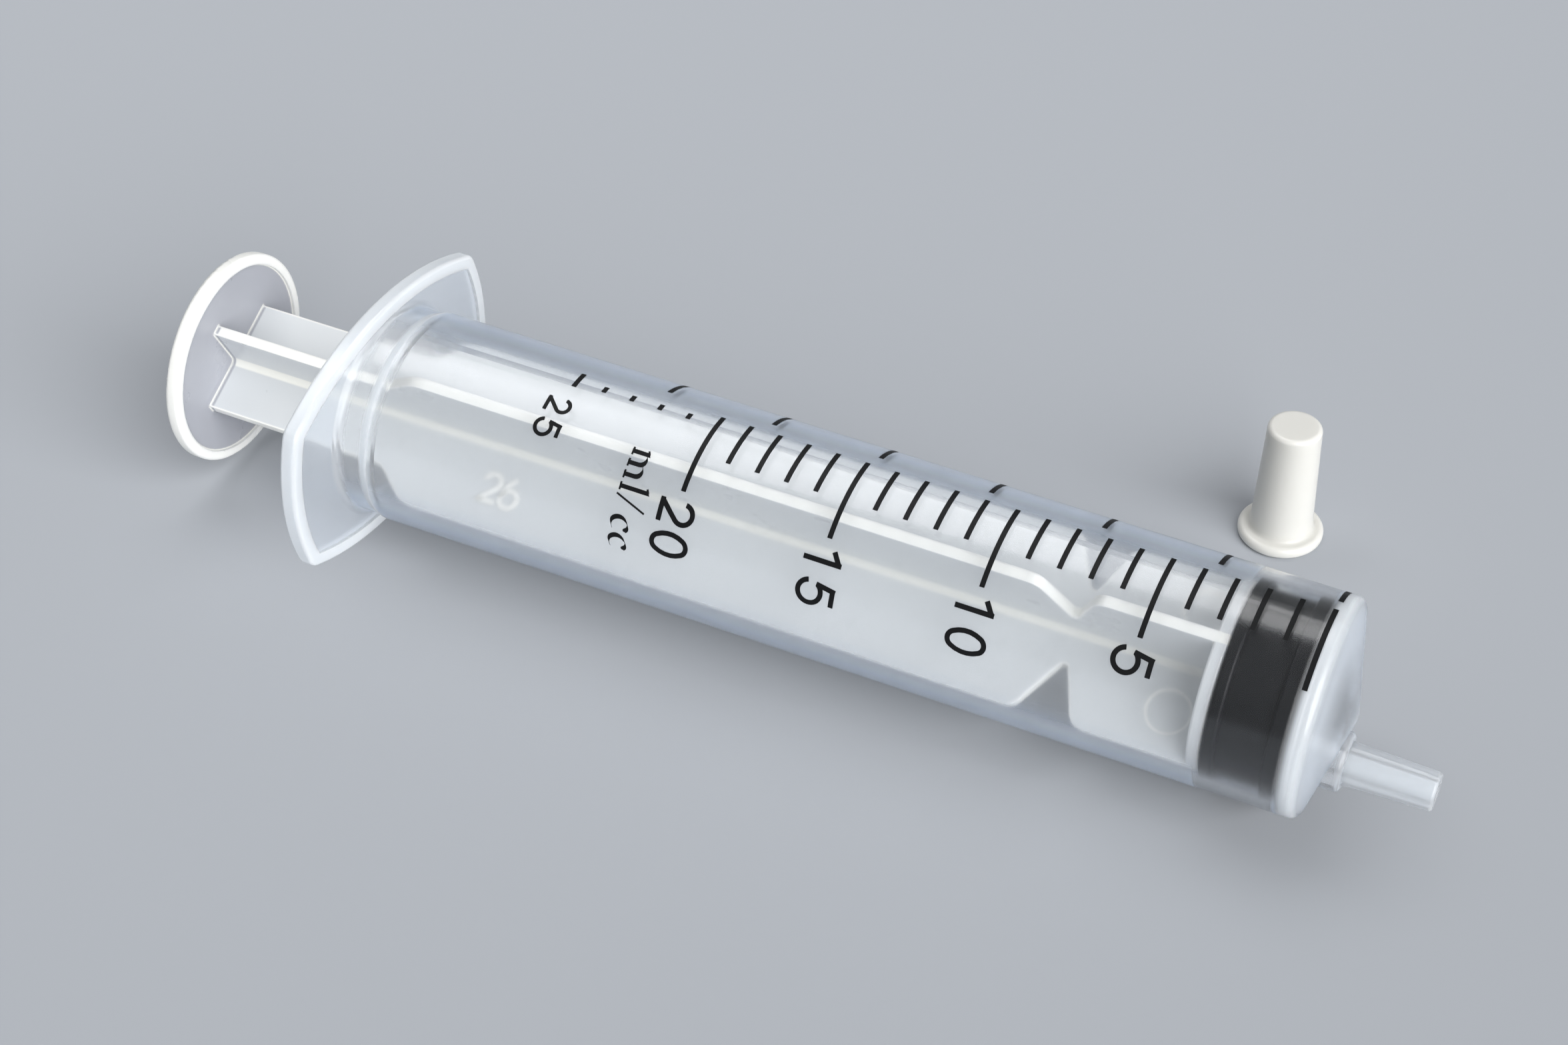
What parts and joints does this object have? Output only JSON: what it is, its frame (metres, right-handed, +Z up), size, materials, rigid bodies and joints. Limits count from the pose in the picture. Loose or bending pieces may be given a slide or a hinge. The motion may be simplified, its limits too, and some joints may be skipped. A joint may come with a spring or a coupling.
{
  "type": "luer slip syringe",
  "caption": "Disposable luer slip syringe with an offset nozzle, finger flange, plunger rod of crossed webs and rubber stopper, with its tip cap beside it",
  "frame": {"origin": "on the table, under the middle of the box round the syringe and its cap", "axes": "+X from the thumb press towards the nozzle, +Y towards the cap, +Z up. The syringe's own axis lies 1.09 degrees nose down, because the flange is wider than the barrel"},
  "size_m": [0.1362, 0.0592, 0.0261],
  "materials": {
    "clear_polypropylene": "clear, smooth and glossy",
    "natural_polypropylene": "cloudy, smooth and satin",
    "black_rubber": "smooth, slightly shiny from silicone oil",
    "cap_polypropylene": "cloudy, smooth and satin"
  },
  "bodies": {
    "barrel": {"barrel": "clear_polypropylene", "tip_cap": "cap_polypropylene"},
    "stopper": {"stopper": "black_rubber"},
    "plunger_rod": {"plunger_rod": "natural_polypropylene"}
  },
  "joints": [
    {"name": "plunger_slide", "type": "slide", "parent": "barrel", "child": "stopper", "axis": [-0.9998, 0, 0.0189], "range_m": [0, 0.089]},
    {"name": "rod_spin", "type": "hinge", "parent": "stopper", "child": "plunger_rod", "pos_m": [0.05521, -0.01039, 0.01111], "axis": [0.9998, 0, -0.0189], "continuous": true}
  ]
}
